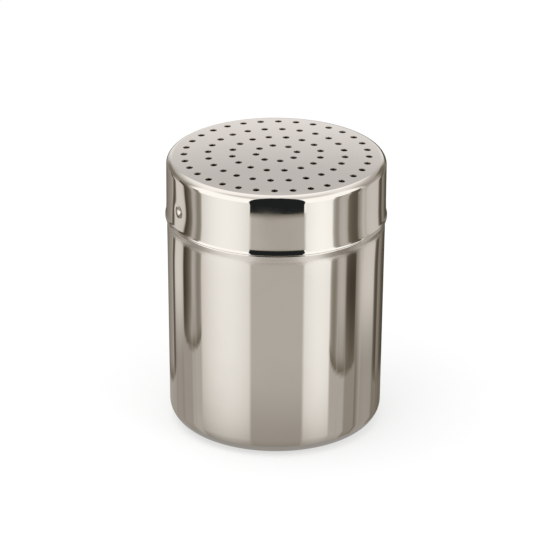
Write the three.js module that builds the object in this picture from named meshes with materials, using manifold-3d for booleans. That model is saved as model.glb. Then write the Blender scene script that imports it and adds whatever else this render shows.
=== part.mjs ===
// A spice shaker of polished steel sheet: a deep-drawn cup, and a perforated lid that locks on its neck
// with a two-lug bayonet. Millimetres, +Z up, origin at the middle of the cup's base on the table.

import * as THREE from "three";
import { mergeVertices, toCreasedNormals } from "three/addons/utils/BufferGeometryUtils.js";
import Module from "manifold-3d";

const wasm = await Module();
wasm.setup();

// The sheet and the fits
const sheet = 0.6;
const seatGap = 0.3; // the lid's lip over the cup's ledge
const neckClearance = 0.4; // the lid's skirt round the cup's neck, on the radius
const lugClearance = 0.35; // a lug in its groove
const rimClearance = 3.25; // the neck's rim under the start of the lid's shoulder

// The cup's wall and base
const wallInset = 0.1; // the wall's top stands in from the lid's skirt
const wallTaper = 0.8; // what the wall draws in on its way down, on the radius
const ledgeHeight = 70.1; // from the table to the ledge that the lid sits on
const baseCornerRadius = 6;
const standingWidth = 4.6; // the flat ring that the cup stands on, round its pressed-up middle
const recessDepth = 0.8;
const recessSlope = 2.5;

// The bead under the lid, and the neck that stands inside it
const beadReach = 0.35; // how far the bead stands out past the lid's skirt
const beadRise = 2.2; // height over which the wall swells into the bead
const beadCrown = 0.6;
const neckFillet = 0.3;

// The lid
const lidRadius = 35;
const lidHeight = 20.4; // from the lip's lower edge to the crown of the top
const shoulderRadius = 2.4;
const crownRise = 1.15; // how far the middle of the top stands above its edge
const flareHeight = 1.2;
const flareReach = 0.42;

// The perforation: evenly spaced rings of holes, each with as many holes more as the first has
const holeDiameter = 2;
const firstRingRadius = 6.6;
const lastRingInset = 5.6; // the last ring, in from the lid's skirt
const ringCount = 4;
const holesInFirstRing = 8;
const holeStartDegrees = 100.2;

// The bayonet: lugs pressed inwards in the skirt, and L-shaped grooves pressed in the neck
const lugCount = 2;
const lugMouthDiameter = 4.5;
const lugDepth = 1.5;
const lugHeight = 6.6; // from the lip's lower edge to the lug's middle
const lugStartDegrees = 208;
const lockTurnDegrees = 28; // the lid locks clockwise, seen from above

// One length by which every cutting shape runs past what it cuts
const overrun = 1;

// How finely round shapes are divided
const aroundSteps = 60;
const arcSteps = 6;
const crownSteps = 4;
const smallSteps = 4;
const tubeSides = 16;
const holeSides = 10;

// Places that follow from the sizes above
const wallTopRadius = lidRadius - wallInset;
const wallFootRadius = wallTopRadius - wallTaper;
const standingRadius = wallFootRadius - baseCornerRadius;
const recessRadius = standingRadius - standingWidth - recessSlope;
const beadRadius = lidRadius + beadReach;
const neckRadius = lidRadius - sheet - neckClearance;
const lipHeight = ledgeHeight + seatGap;
const crownHeight = lipHeight + lidHeight;
const rimHeight = crownHeight - crownRise - shoulderRadius - rimClearance;
const shoulderCentre = lidRadius - shoulderRadius;
const ringPitch = (lidRadius - lastRingInset - firstRingRadius) / (ringCount - 1);
const dimpleRadius = ((lugMouthDiameter / 2) ** 2 + lugDepth ** 2) / (2 * lugDepth);
const lugRadius = dimpleRadius + sheet;
const lugCentreRadius = lidRadius - lugDepth + dimpleRadius;
const lugCentreHeight = lipHeight + lugHeight;
const grooveRadius = lugRadius + lugClearance;
const creaseAngle = THREE.MathUtils.degToRad(30);

const steel = { color: 0xc9c4bd, metalness: 1, roughness: 0.22 };

// Points on a circular arc in the profile plane, where x is the radius and y is the height.
function arc(centreRadius, centreHeight, radius, fromDegrees, toDegrees, steps) {
  const points = [];
  for (let i = 0; i <= steps; i++) {
    const angle = THREE.MathUtils.degToRad(THREE.MathUtils.lerp(fromDegrees, toDegrees, i / steps));
    const x = centreRadius + radius * Math.cos(angle);
    const y = centreHeight + radius * Math.sin(angle);
    points.push(new THREE.Vector2(x, y));
  }
  return points;
}

// A curve between two points whose tangents are both upright at its ends.
function swell(fromRadius, fromHeight, toRadius, toHeight, steps) {
  const points = [];
  for (let i = 0; i <= steps; i++) {
    const share = i / steps;
    const x = THREE.MathUtils.lerp(fromRadius, toRadius, THREE.MathUtils.smoothstep(share, 0, 1));
    points.push(new THREE.Vector2(x, THREE.MathUtils.lerp(fromHeight, toHeight, share)));
  }
  return points;
}

// Drops points that lie on the one before.
function withoutRepeats(points) {
  return points.filter((point, i) => i === 0 || point.distanceTo(points[i - 1]) > sheet / 100);
}

// The closed profile of a pressed sheet: the outer face, then the same face moved in by the sheet's
// thickness along its own normal and walked back. The outer face runs with the sheet on its left.
function sheetProfile(outerFace) {
  const outer = withoutRepeats(outerFace);
  const inner = outer.map((point, i) => {
    const before = outer[Math.max(i - 1, 0)];
    const after = outer[Math.min(i + 1, outer.length - 1)];
    const along = after.clone().sub(before).normalize();
    const x = point.x === 0 ? 0 : point.x - along.y * sheet;
    return new THREE.Vector2(x, point.y + along.x * sheet);
  });
  return [...outer, ...inner.reverse(), outer[0]];
}

// A closed three.js geometry as a solid that can be joined and cut.
function solidFrom(geometry) {
  const bare = geometry.clone();
  bare.deleteAttribute("normal");
  bare.deleteAttribute("uv");
  const merged = mergeVertices(bare, sheet / 1000);
  const corners = merged.index.array;
  const triVerts = [];
  for (let i = 0; i < corners.length; i += 3) {
    const [a, b, c] = corners.slice(i, i + 3);
    if (a !== b && b !== c && c !== a) triVerts.push(a, b, c);
  }
  const vertProperties = merged.attributes.position.array;
  const mesh = new wasm.Mesh({ numProp: 3, vertProperties, triVerts: new Uint32Array(triVerts) });
  return new wasm.Manifold(mesh);
}

// The solid back as a geometry, smooth over its gentle edges.
function geometryFrom(solid) {
  const { vertProperties, triVerts } = solid.getMesh();
  const geometry = new THREE.BufferGeometry();
  geometry.setAttribute("position", new THREE.BufferAttribute(vertProperties, 3));
  geometry.setIndex(new THREE.BufferAttribute(triVerts, 1));
  return toCreasedNormals(geometry, creaseAngle);
}

// A profile turned round the Z axis.
function turned(profile) {
  return solidFrom(new THREE.LatheGeometry(profile, aroundSteps).rotateX(Math.PI / 2));
}

// An upright cylinder between two heights, round the axis through x and y.
function upright(radius, fromHeight, toHeight, x, y, sides) {
  const cylinder = new THREE.CylinderGeometry(radius, radius, toHeight - fromHeight, sides);
  cylinder.rotateX(Math.PI / 2);
  cylinder.translate(x, y, (fromHeight + toHeight) / 2);
  return solidFrom(cylinder);
}

// A ball on the circle where the lugs' centres run.
function lugBall(radius, degrees) {
  const angle = THREE.MathUtils.degToRad(degrees);
  const ball = new THREE.SphereGeometry(radius, tubeSides, tubeSides / 2).rotateX(Math.PI / 2);
  const x = lugCentreRadius * Math.cos(angle);
  const y = lugCentreRadius * Math.sin(angle);
  return solidFrom(ball.translate(x, y, lugCentreHeight));
}

// The path of a lug's centre round the neck while the lid turns.
class LockPath extends THREE.Curve {
  constructor(startDegrees) {
    super();
    this.startDegrees = startDegrees;
  }

  getPoint(share, target = new THREE.Vector3()) {
    const angle = THREE.MathUtils.degToRad(this.startDegrees - share * lockTurnDegrees);
    const x = lugCentreRadius * Math.cos(angle);
    const y = lugCentreRadius * Math.sin(angle);
    return target.set(x, y, lugCentreHeight);
  }
}

// What a ball of this radius sweeps while its lug comes down the neck and turns to the lock.
function lugSweep(radius, degrees) {
  const angle = THREE.MathUtils.degToRad(degrees);
  const x = lugCentreRadius * Math.cos(angle);
  const y = lugCentreRadius * Math.sin(angle);
  const entry = upright(radius, lugCentreHeight, rimHeight + overrun, x, y, tubeSides);
  const round = new THREE.Shape().absarc(0, 0, radius, 0, 2 * Math.PI);
  const lock = new THREE.ExtrudeGeometry(round, {
    extrudePath: new LockPath(degrees),
    steps: arcSteps,
    curveSegments: tubeSides / 2,
    bevelEnabled: false,
  });
  const ends = [lugBall(radius, degrees), lugBall(radius, degrees - lockTurnDegrees)];
  return wasm.Manifold.union([entry, solidFrom(lock), ...ends]);
}

// The angle of each lug, spread evenly from the first.
function lugAngles() {
  return Array.from({ length: lugCount }, (_, i) => lugStartDegrees + (i * 360) / lugCount);
}

// The cup's outer face, from the middle of its base to the rim of its neck.
function cupFace() {
  const swellFoot = ledgeHeight - beadCrown - beadRise;
  const crownFoot = ledgeHeight - beadCrown;
  return [
    new THREE.Vector2(0, recessDepth),
    new THREE.Vector2(recessRadius, recessDepth),
    new THREE.Vector2(recessRadius + recessSlope, 0),
    ...arc(standingRadius, baseCornerRadius, baseCornerRadius, -90, 0, arcSteps),
    ...swell(wallTopRadius, swellFoot, beadRadius, crownFoot, smallSteps),
    ...arc(beadRadius - beadCrown, crownFoot, beadCrown, 0, 90, smallSteps),
    ...arc(neckRadius + neckFillet, ledgeHeight + neckFillet, neckFillet, 270, 180, smallSteps / 2),
    new THREE.Vector2(neckRadius, rimHeight),
  ];
}

// The cup: one pressed sheet, with the bayonet grooves pressed inwards in its neck. Behind each groove
// the sheet stands proud inside the neck by the same amount.
function makeCup() {
  const neck = upright(neckRadius - sheet / 2, ledgeHeight, rimHeight, 0, 0, aroundSteps);
  const ridges = lugAngles().map((degrees) => lugSweep(grooveRadius + sheet, degrees).intersect(neck));
  const grooves = lugAngles().map((degrees) => lugSweep(grooveRadius, degrees));
  const shell = turned(sheetProfile(cupFace()));
  return wasm.Manifold.union([shell, ...ridges]).subtract(wasm.Manifold.union(grooves));
}

// The lid's outer face, from its lip up to the crown of its top.
function lidFace() {
  const edgeSlope = Math.atan((2 * crownRise) / shoulderCentre);
  const edgeRadius = shoulderCentre + shoulderRadius * Math.sin(edgeSlope);
  const shoulderHeight = crownHeight - crownRise - shoulderRadius * Math.cos(edgeSlope);
  const crown = [];
  for (let i = 0; i < crownSteps; i++) {
    const share = i / crownSteps;
    crown.push(new THREE.Vector2(edgeRadius * share, crownHeight - crownRise * share ** 2));
  }
  const shoulderEnd = 90 - THREE.MathUtils.radToDeg(edgeSlope);
  const flareRadius = (flareHeight ** 2 + flareReach ** 2) / (2 * flareReach);
  const flareTurn = THREE.MathUtils.radToDeg(Math.asin(flareHeight / flareRadius));
  const flareTop = lipHeight + flareHeight;
  return [
    ...arc(lidRadius + flareRadius, flareTop, flareRadius, 180 + flareTurn, 180, smallSteps),
    ...arc(shoulderCentre, shoulderHeight, shoulderRadius, 0, shoulderEnd, arcSteps),
    ...crown.reverse(),
  ];
}

// All the holes of the perforation as one cutting solid.
function perforation() {
  const holes = [];
  for (let ring = 0; ring < ringCount; ring++) {
    const count = holesInFirstRing * (ring + 1);
    const radius = firstRingRadius + ring * ringPitch;
    for (let i = 0; i < count; i++) {
      const angle = THREE.MathUtils.degToRad(holeStartDegrees + (i * 360) / count);
      const x = radius * Math.cos(angle);
      const y = radius * Math.sin(angle);
      const foot = crownHeight - crownRise - sheet - overrun;
      holes.push(upright(holeDiameter / 2, foot, crownHeight + overrun, x, y, holeSides));
    }
  }
  return wasm.Manifold.union(holes);
}

// The lid: one pressed sheet, with the lugs pressed inwards in its skirt, the top pierced and the lip
// trimmed level.
function makeLid() {
  const core = upright(lidRadius - sheet / 2, lipHeight, crownHeight, 0, 0, aroundSteps);
  const lugs = lugAngles().map((degrees) => lugBall(lugRadius, degrees).intersect(core));
  const dimples = lugAngles().map((degrees) => lugBall(dimpleRadius, degrees));
  const shell = turned(sheetProfile(lidFace()));
  const pressed = wasm.Manifold.union([shell, ...lugs]).subtract(wasm.Manifold.union(dimples));
  return pressed.subtract(perforation()).trimByPlane([0, 0, 1], lipHeight);
}

// A named piece of the shaker.
function piece(name, solid) {
  const mesh = new THREE.Mesh(geometryFrom(solid), new THREE.MeshStandardMaterial(steel));
  mesh.name = name;
  return mesh;
}

const shaker = new THREE.Group();
shaker.add(piece("cup", makeCup()), piece("lid", makeLid()));

export default shaker;
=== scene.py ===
"""A spice shaker of polished steel sheet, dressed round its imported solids.

The shaker is two pressings: a deep-drawn cup, and a perforated lid that locks on the cup's neck with a
two-lug bayonet. Each pressing is a surface worked out as whole arrays: a meridian turned round the Z
axis and pressed in or out by a function of the angle and the height. Lengths are metres. A depth in
the sheet is 0 on its outer face and the sheet's thickness on its inner face.
"""

import logging
import math
from dataclasses import dataclass, field
from enum import Enum
from typing import Any, Optional, Union

import bmesh
import bpy
import numpy as np
from mathutils import Matrix, Vector


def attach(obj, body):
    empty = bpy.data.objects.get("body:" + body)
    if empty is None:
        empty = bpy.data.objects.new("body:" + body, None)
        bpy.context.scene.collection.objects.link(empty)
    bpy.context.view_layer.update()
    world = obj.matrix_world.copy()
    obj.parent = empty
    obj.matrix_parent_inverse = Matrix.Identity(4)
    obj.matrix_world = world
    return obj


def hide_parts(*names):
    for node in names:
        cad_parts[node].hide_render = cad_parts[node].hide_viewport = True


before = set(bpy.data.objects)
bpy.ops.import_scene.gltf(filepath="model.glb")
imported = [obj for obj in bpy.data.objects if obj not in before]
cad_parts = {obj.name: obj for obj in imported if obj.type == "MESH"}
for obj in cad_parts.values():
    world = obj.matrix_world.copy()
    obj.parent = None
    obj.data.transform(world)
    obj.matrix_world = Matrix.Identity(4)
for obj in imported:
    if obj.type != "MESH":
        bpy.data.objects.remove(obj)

log = logging.getLogger("spice_shaker")

MM = 0.001
TURN = 2 * math.pi
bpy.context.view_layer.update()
WHITE = (1.0, 1.0, 1.0, 1.0)
SATIN = 0.5
SHEARED = 1.0
BEHIND = 180  # the azimuth straight behind the shaker, in degrees
SAME_POINT = 0.01 * MM
EDGE_STEPS = 8

Array = np.ndarray
Amount = Union[Array, float]
Colour = tuple[float, float, float]


class Ray(Enum):
    """The outputs of a Light Path node that this script asks for."""

    CAMERA = "Is Camera Ray"
    GLOSSY = "Is Glossy Ray"
    TRANSMISSION = "Is Transmission Ray"


class Value:
    """A number socket with arithmetic: an expression on values adds its Math nodes."""

    def __init__(self, graph: "Graph", socket: bpy.types.NodeSocket) -> None:
        """Wrap an output socket that carries a number."""
        self.graph = graph
        self.socket = socket

    def math(self, operation: str, *others: "Operand") -> "Value":
        """Return the result of a Math node with this value and the others as its inputs."""
        inputs = {0: self, **dict(enumerate(others, 1))}
        return self.graph.node("ShaderNodeMath", {"operation": operation}, inputs).value()

    def __add__(self, other: "Operand") -> "Value":
        """Return self + other."""
        return self.math("ADD", other)

    __radd__ = __add__

    def __sub__(self, other: "Operand") -> "Value":
        """Return self - other."""
        return self.math("SUBTRACT", other)

    def __rsub__(self, other: float) -> "Value":
        """Return other - self."""
        return (self * -1.0).math("ADD", other)

    def __mul__(self, other: "Operand") -> "Value":
        """Return self * other."""
        return self.math("MULTIPLY", other)

    __rmul__ = __mul__

    def smooth(self, low: float, high: float) -> "Value":
        """Spread this value over a smooth step.

        Args:
            low: the value under which the result is 0.
            high: the value over which the result is 1.

        Returns:
            The result.
        """
        settings = {"interpolation_type": "SMOOTHSTEP"}
        inputs = {"Value": self, "From Min": low, "From Max": high}
        return self.graph.node("ShaderNodeMapRange", settings, inputs).value("Result")


Operand = Union[Value, float]


class Made:
    """A node that has been made, for its outputs."""

    def __init__(self, graph: "Graph", node: bpy.types.Node) -> None:
        """Wrap a node of a graph."""
        self.graph = graph
        self.node = node

    def out(self, name: Union[str, int] = 0) -> bpy.types.NodeSocket:
        """Return an output socket by its name or place."""
        return self.node.outputs[name]

    def value(self, name: Union[str, int] = 0) -> Value:
        """Return an output socket as a value for arithmetic."""
        return Value(self.graph, self.out(name))


class Graph:
    """The node tree of a material or of the world."""

    def __init__(self, owner: Union[bpy.types.Material, bpy.types.World]) -> None:
        """Empty the owner's node tree and keep it.

        Args:
            owner: the material or world whose nodes these are.
        """
        owner.use_nodes = True
        self.tree = owner.node_tree
        self.tree.nodes.clear()

    def node(self, kind: str, settings: dict[str, Any] = {}, inputs: dict = {}) -> Made:
        """Make one node: its settings first, then its sockets.

        Args:
            kind: the node's type.
            settings: attributes of the node, such as a Math node's operation.
            inputs: by the socket's name or place, what it holds: a number, a colour, a value, a socket
                or a made node, which gives its first output.

        Returns:
            The node.
        """
        made = self.tree.nodes.new(kind)
        for name, setting in settings.items():
            setattr(made, name, setting)
        for name, given in inputs.items():
            source = given.socket if isinstance(given, Value) else given
            source = source.out() if isinstance(source, Made) else source
            if isinstance(source, bpy.types.NodeSocket):
                self.tree.links.new(source, made.inputs[name])
            else:
                made.inputs[name].default_value = source
        return Made(self, made)

    def ray(self, kind: Ray) -> Value:
        """Return 1 for rays of a kind and 0 for others."""
        return self.node("ShaderNodeLightPath").value(kind.value)

    def noise(self, place: Any, scale: float, detail: float, roughness: float) -> Value:
        """Return a noise texture's value at a place."""
        inputs = {"Vector": place, "Scale": scale, "Detail": detail, "Roughness": roughness}
        return self.node("ShaderNodeTexNoise", inputs=inputs).value("Fac")

    def mixed(self, share: Operand, first: Any, second: Any) -> bpy.types.NodeSocket:
        """Return a colour between two, the share of the second growing from 0 to 1."""
        inputs = {"Factor": share, 6: first, 7: second}
        return self.node("ShaderNodeMix", {"data_type": "RGBA"}, inputs).out("Result")

    def bump(self, height: Value, strength: float, distance: float, normal: Any = (0.0, 0.0, 0.0)) -> Made:
        """Return a relief by a height, over the normal of another relief or over the plain surface."""
        inputs = {"Height": height, "Strength": strength, "Distance": distance, "Normal": normal}
        return self.node("ShaderNodeBump", inputs=inputs)

    def finish(self, shader: Made, kind: str = "ShaderNodeOutputMaterial") -> None:
        """Send a shader to the output node of a kind."""
        self.node(kind, inputs={"Surface": shader})


def smooth_step(share: Array) -> Array:
    """Return 3 t^2 - 2 t^3 of a share t clipped to 0..1."""
    t = np.clip(share, 0, 1)
    return t * t * (3 - 2 * t)


def soft_edge(value: Amount, place: Amount, width: float) -> Array:
    """Return 0 to 1 as a value passes a place, by a smooth step of a width whose middle is there."""
    return smooth_step((value - place) / width + 0.5)


def smooth_max(first: Array, second: Array, width: float) -> Array:
    """Return the greater array, raised by (width - gap)^2 / (4 width) where the gap between both is less."""
    gap = np.abs(first - second)
    return np.maximum(first, second) + np.clip(width - gap, 0, None) ** 2 / (4 * width)


def arc(centre: tuple[float, float], radius: float, start: float, end: float, steps: int) -> Array:
    """Return rows of radius and height along an arc in degrees, centre + radius (cos a, sin a)."""
    angle = np.radians(np.linspace(start, end, steps + 1))
    return np.stack([centre[0] + radius * np.cos(angle), centre[1] + radius * np.sin(angle)], axis=1)


def line(start: tuple[float, float], end: tuple[float, float], steps: int) -> Array:
    """Return evenly spaced rows of radius and height, start + share * (end - start)."""
    share = np.linspace(0, 1, steps + 1)[:, None]
    return (1 - share) * np.array(start) + share * np.array(end)


def joined(*stretches: Array) -> Array:
    """Put stretches of a meridian end to end, without the points that lie on the one before.

    Args:
        stretches: their rows of radius and height.

    Returns:
        The whole meridian's rows.
    """
    rows = np.concatenate(stretches)
    apart = np.hypot(*np.diff(rows, axis=0).T) > SAME_POINT
    return rows[np.concatenate([[True], apart])]


def inner_face(meridian: Array, sheet: float) -> Array:
    """The meridian moved to its left by the sheet's thickness, along its own normal.

    Args:
        meridian: rows of radius and height, with the sheet on their left.
        sheet: the thickness.

    Returns:
        Rows of radius and height.
    """
    length = np.concatenate([[0], np.cumsum(np.hypot(*np.diff(meridian, axis=0).T))])
    slope = np.gradient(meridian, length, axis=0)
    slope /= np.hypot(slope[:, 0], slope[:, 1])[:, None]
    return meridian + sheet * np.stack([-slope[:, 1], slope[:, 0]], axis=1)


def around(angle: Array, radius: Array, height: Array) -> Array:
    """Return the points (r cos a, r sin a, z), the last axis of the array being x, y, z."""
    angle, radius, height = np.broadcast_arrays(angle, radius, height)
    return np.stack([radius * np.cos(angle), radius * np.sin(angle), height], axis=-1)


def half_round(outside: Array, inside: Array, rise: float) -> Array:
    """The sheet's rounded edge: a half turn from the outer face over to the inner face.

    A point is middle + half * cos(a) + up * sin(a), where half runs from the middle of the sheet out
    to its outer face, and up is the edge's rise.

    Args:
        outside: the outer face's last ring.
        inside: the inner face's last ring.
        rise: how far the edge stands up from them.

    Returns:
        The rings between them.
    """
    angle = np.linspace(0, math.pi, EDGE_STEPS + 1)[1:-1, None, None]
    half = (outside - inside) / 2
    return (outside + inside) / 2 + half * np.cos(angle) + np.array([0, 0, rise]) * np.sin(angle)


def ring_faces(numbers: Array) -> Array:
    """The four-sided faces of a grid of point numbers whose last column joins its first.

    A face turns from a row to the next row and then along the row, so with rows that go up and columns
    that go anticlockwise the faces point inwards to the axis, and with rows that go down outwards.

    Args:
        numbers: the grid, one ring after the other.

    Returns:
        Each face's four numbers, by row and column.
    """
    numbers = np.concatenate([numbers, numbers[:, :1]], axis=1)
    low, high = numbers[:-1], numbers[1:]
    return np.stack([low[:, :-1], high[:, :-1], high[:, 1:], low[:, 1:]], axis=-1)


def placed(name: str, data: bpy.types.ID) -> bpy.types.Object:
    """Make an object of its data and link it to the scene.

    Args:
        name: the object's name.
        data: its mesh, light or camera.

    Returns:
        The object.
    """
    made = bpy.data.objects.new(name, data)
    bpy.context.scene.collection.objects.link(made)
    return made


@dataclass
class Mesh:
    """Vertices and faces that are gathered patch by patch, then written as one closed mesh."""

    corners: list[Array] = field(default_factory=list)
    raw: list[Array] = field(default_factory=list)
    quads: list[Array] = field(default_factory=list)
    count: int = 0
    merge_distance: float = 0.002 * MM

    def add(self, points: Array, raw: Amount = 0.0) -> Array:
        """Add points, each with how raw the sheet is there.

        Args:
            points: an array whose last axis is x, y, z.
            raw: 0 where the sheet is polished, SATIN where it is satin and SHEARED where it is sheared; a
                little over SATIN, on the cup's bead, the colour darkens slightly as a painted shade.

        Returns:
            The points' numbers, in the array's own layout.
        """
        numbers = self.count + np.arange(points[..., 0].size).reshape(points.shape[:-1])
        self.corners.append(points.reshape(-1, 3))
        self.raw.append(np.broadcast_to(raw, numbers.shape).ravel())
        self.count += numbers.size
        return numbers

    def join(self, *rings: Array) -> None:
        """Join rings of point numbers, or grids of them, with four-sided faces."""
        self.quads.append(ring_faces(np.concatenate([np.atleast_2d(ring) for ring in rings])).reshape(-1, 4))

    def cap(self, ring: Array, pole: Array) -> None:
        """Close a ring of point numbers with triangles to a pole, whose number is in an array."""
        same = np.full(ring.size, int(pole[0]))
        self.quads.append(np.stack([ring, same, same, np.roll(ring, -1)], axis=-1))

    def write(self, name: str) -> bpy.types.Object:
        """Make the gathered patches an object, with doubled points merged.

        Args:
            name: the object's name.

        Returns:
            The object, linked to the scene.
        """
        corners = np.concatenate(self.corners)
        keys = np.round(corners / self.merge_distance).astype(np.int64)
        _, first, inverse = np.unique(keys, axis=0, return_index=True, return_inverse=True)
        corners = corners[first]
        raw = np.concatenate(self.raw)[first]
        faces = inverse.reshape(-1)[np.concatenate(self.quads)]
        keep = faces != np.roll(faces, -1, axis=1)
        sizes = keep.sum(axis=1)
        solid = sizes >= 3
        loops = faces[solid][keep[solid]]
        sizes = sizes[solid]
        mesh = bpy.data.meshes.new(name)
        mesh.vertices.add(len(corners))
        mesh.vertices.foreach_set("co", corners.astype(np.float32).ravel())
        mesh.loops.add(loops.size)
        mesh.loops.foreach_set("vertex_index", loops.astype(np.int32))
        mesh.polygons.add(sizes.size)
        starts = np.concatenate([[0], np.cumsum(sizes)[:-1]])
        mesh.polygons.foreach_set("loop_start", starts.astype(np.int32))
        mesh.polygons.foreach_set("use_smooth", np.ones(sizes.size, dtype=bool))
        mesh.update(calc_edges=True)
        layer = mesh.attributes.new("raw", "FLOAT", "POINT")
        layer.data.foreach_set("value", raw.astype(np.float32))
        turned_out = bmesh.new()
        turned_out.from_mesh(mesh)
        bmesh.ops.recalc_face_normals(turned_out, faces=turned_out.faces)
        turned_out.to_mesh(mesh)
        turned_out.free()
        return placed(name, mesh)


@dataclass(frozen=True)
class Bayonet:
    """The lock: lugs pressed inwards in the lid's skirt, and L-shaped grooves pressed in the cup's neck.

    A lug is a soft dimple. A groove is what a ball slightly larger than the lug sweeps while the lug
    comes down the neck and turns clockwise to the lock.
    """

    sheet: float = 0.6 * MM
    skirt_radius: float = 35 * MM
    neck_clearance: float = 0.4 * MM
    lug_mouth: float = 4.5 * MM
    lug_depth: float = 1.5 * MM
    bell_depth: float = 0.95 * MM
    lug_clearance: float = 0.35 * MM
    lug_height: float = 77 * MM
    lug_count: int = 2
    lug_degrees: float = 208
    lock_degrees: float = 28
    lug_reach: float = 1.35 * MM
    groove_fillet: float = 0.6 * MM
    dent_depth: float = 0.23 * MM
    dent_reach: float = 6 * MM
    worn_reach: float = 1.5 * MM

    @property
    def neck_radius(self) -> float:
        """Return the outer radius of the cup's neck."""
        return self.skirt_radius - self.sheet - self.neck_clearance

    @property
    def ball_radius(self) -> float:
        """Return the radius of the ball that the lug follows."""
        return (self.lug_mouth**2 / 4 + self.lug_depth**2) / (2 * self.lug_depth)

    def offset_from_lug(self, angle: Array) -> Array:
        """The angle past the nearest lug.

        Args:
            angle: the points' angles.

        Returns:
            Angles from minus to plus half the lugs' spacing.
        """
        spacing = TURN / self.lug_count
        past = angle - math.radians(self.lug_degrees) + spacing / 2
        return np.mod(past, spacing) - spacing / 2

    def lug(self, angle: Array, height: Array, depth: float) -> Array:
        """How far the skirt is pressed in at each point: the lug, and a soft dent round it.

        Each is a bell, deepest * exp(-(away / reach)^2), as the sheet gives way round the punch. On the
        inner face the lug's bell is wider by half the sheet's thickness.

        Args:
            angle: the points' angles.
            height: the points' heights.
            depth: the face's depth in the sheet.

        Returns:
            How far in each point is pressed.
        """
        along = self.offset_from_lug(angle) * self.skirt_radius
        away = np.hypot(along, height - self.lug_height)
        pressed = self.bell_depth * np.exp(-((away / (self.lug_reach + depth / 2)) ** 2))
        return pressed + self.dent_depth * np.exp(-((away / self.dent_reach) ** 2))

    def groove(self, angle: Array, height: Array, depth: float) -> Array:
        """How far the neck is pressed in at each point by the L-shaped grooves.

        The ball's face stands sqrt(R^2 - away^2) in from its centre, less what the centre stands out
        from the wall, and the edge of the hollow is rounded. Away is the distance along the wall from
        the path of the ball's centre.

        Args:
            angle: the points' angles.
            height: the points' heights.
            depth: the face's depth in the sheet. On the inner face a groove is a ridge.

        Returns:
            How far in each point is pressed.
        """
        base = self.neck_radius - depth
        lock = math.radians(self.lock_degrees)
        along = (self.offset_from_lug(angle + lock / 2) - lock / 2) * base
        up = height - self.lug_height
        entry = np.hypot(along, np.minimum(up, 0))
        slot = np.hypot(along - np.clip(along, -lock * base, 0), up)
        ball = self.ball_radius + self.sheet + self.lug_clearance + depth
        centre = self.skirt_radius - self.lug_depth + self.ball_radius
        reach = np.sqrt(np.clip(ball**2 - np.minimum(entry, slot) ** 2, 0, None))
        return smooth_max(reach - (centre - base), np.zeros_like(reach), self.groove_fillet)


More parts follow.
